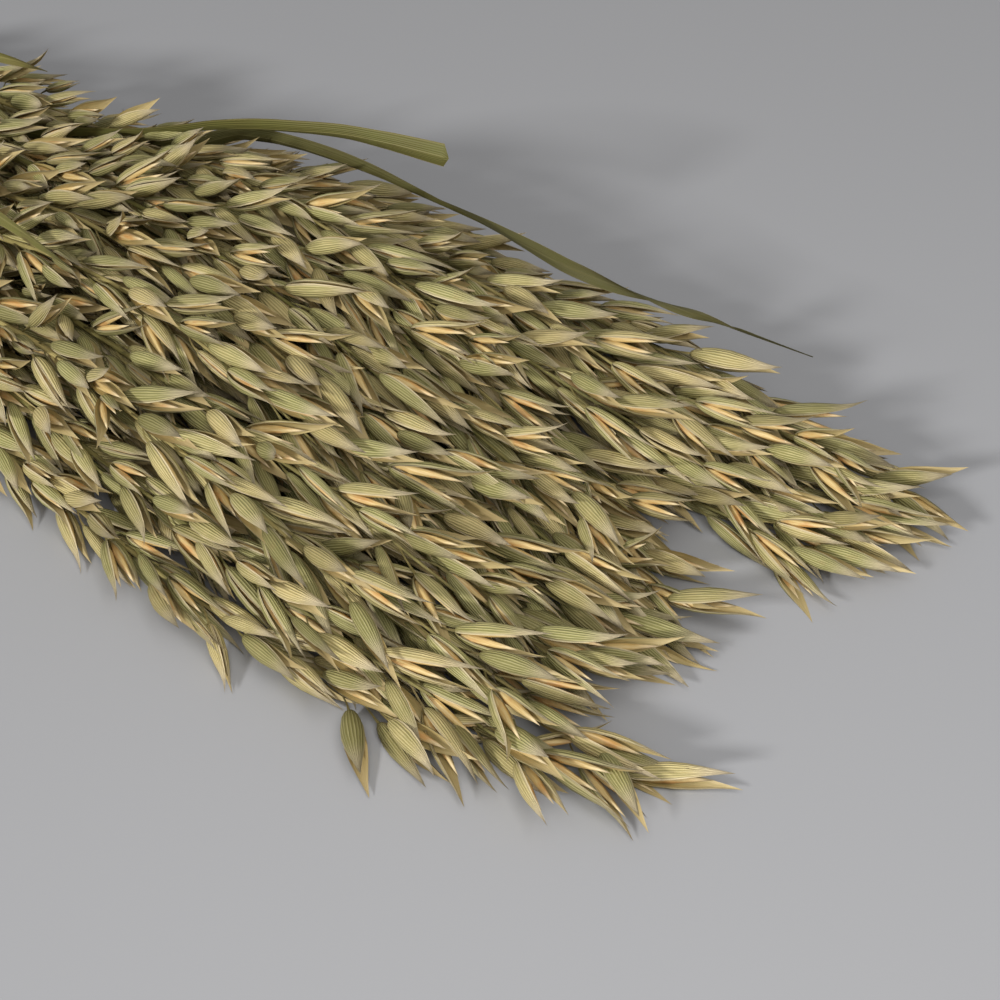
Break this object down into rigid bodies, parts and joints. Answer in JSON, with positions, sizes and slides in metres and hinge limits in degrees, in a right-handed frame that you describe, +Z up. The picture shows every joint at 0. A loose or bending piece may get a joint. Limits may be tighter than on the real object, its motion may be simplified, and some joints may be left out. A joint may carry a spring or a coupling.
{
  "type": "bundle of dried oats",
  "caption": "Bunch of dried oat stalks with full seed heads and a few ribbon leaves, tied round the culms with natural twine and lying on its side.",
  "frame": {"origin": "centre of the bounding box in plan, on the surface that the bundle lies on", "axes": "+X along the stalks from the cut ends towards the seed heads, +Z up"},
  "size_m": [0.675, 0.1782, 0.0649],
  "materials": {
    "oat_straw": "matte",
    "dry_leaf": "matte",
    "natural_twine": "matte"
  },
  "bodies": {
    "root": {"oat_stalk_01": "oat_straw", "oat_stalk_02": "oat_straw", "oat_stalk_03": "oat_straw", "oat_stalk_04": "oat_straw", "oat_stalk_05": "oat_straw", "oat_stalk_06": "oat_straw", "oat_stalk_07": "oat_straw", "oat_stalk_08": "oat_straw", "oat_stalk_09": "oat_straw", "oat_stalk_10": "oat_straw", "oat_stalk_11": "oat_straw", "oat_stalk_12": "oat_straw", "oat_stalk_13": "oat_straw", "oat_stalk_14": "oat_straw", "oat_stalk_15": "oat_straw", "oat_stalk_16": "oat_straw", "oat_stalk_17": "oat_straw", "oat_stalk_18": "oat_straw", "oat_stalk_19": "oat_straw", "oat_stalk_20": "oat_straw", "oat_stalk_21": "oat_straw", "oat_stalk_22": "oat_straw", "oat_stalk_23": "oat_straw", "oat_stalk_24": "oat_straw", "oat_stalk_25": "oat_straw", "oat_stalk_26": "oat_straw", "oat_stalk_27": "oat_straw", "oat_stalk_28": "oat_straw", "oat_stalk_29": "oat_straw", "oat_stalk_30": "oat_straw", "oat_stalk_31": "oat_straw", "oat_stalk_32": "oat_straw", "oat_stalk_33": "oat_straw", "oat_stalk_34": "oat_straw", "leaf_long_side": "dry_leaf", "leaf_blunt_side": "dry_leaf", "leaf_back_top": "dry_leaf", "leaf_back_side": "dry_leaf", "leaf_near_side": "dry_leaf", "leaf_stem_top": "dry_leaf", "leaf_stem_near": "dry_leaf", "leaf_cut_end": "dry_leaf", "twine_tie": "natural_twine"}
  },
  "joints": []
}
